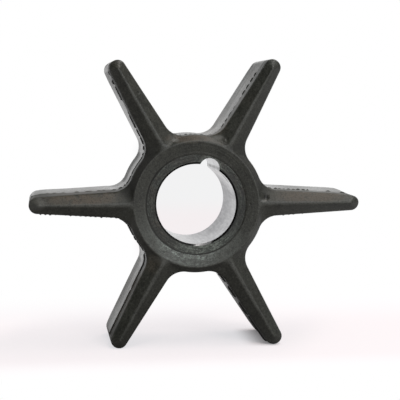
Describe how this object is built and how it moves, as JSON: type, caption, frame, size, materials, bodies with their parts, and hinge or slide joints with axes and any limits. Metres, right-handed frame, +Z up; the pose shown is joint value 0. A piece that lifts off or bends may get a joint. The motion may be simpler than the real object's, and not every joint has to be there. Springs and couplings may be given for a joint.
{
  "type": "rubber pump impeller",
  "caption": "Flexible vane pump impeller: a rubber star of straight tapered vanes with ridged ends and dished collars, bonded to a metal hub sleeve with a half-round keyway",
  "frame": {"origin": "middle of the bore, which is also the middle of the whole impeller", "axes": "+Y along the bore to the back end, the front end faces -Y; +X along a vane to the right seen from the front; +Z up, the impeller standing on the tips of its two lower vanes"},
  "size_m": [0.0652, 0.0206, 0.057],
  "materials": {
    "rubber": "moulded dark grey synthetic rubber, satin, with trimmed flash",
    "insert_metal": "smooth bright bore, end faces under a thin dark bonding film"
  },
  "bodies": {
    "root": {"rubber_body": "rubber", "hub_insert": "insert_metal"}
  },
  "joints": []
}
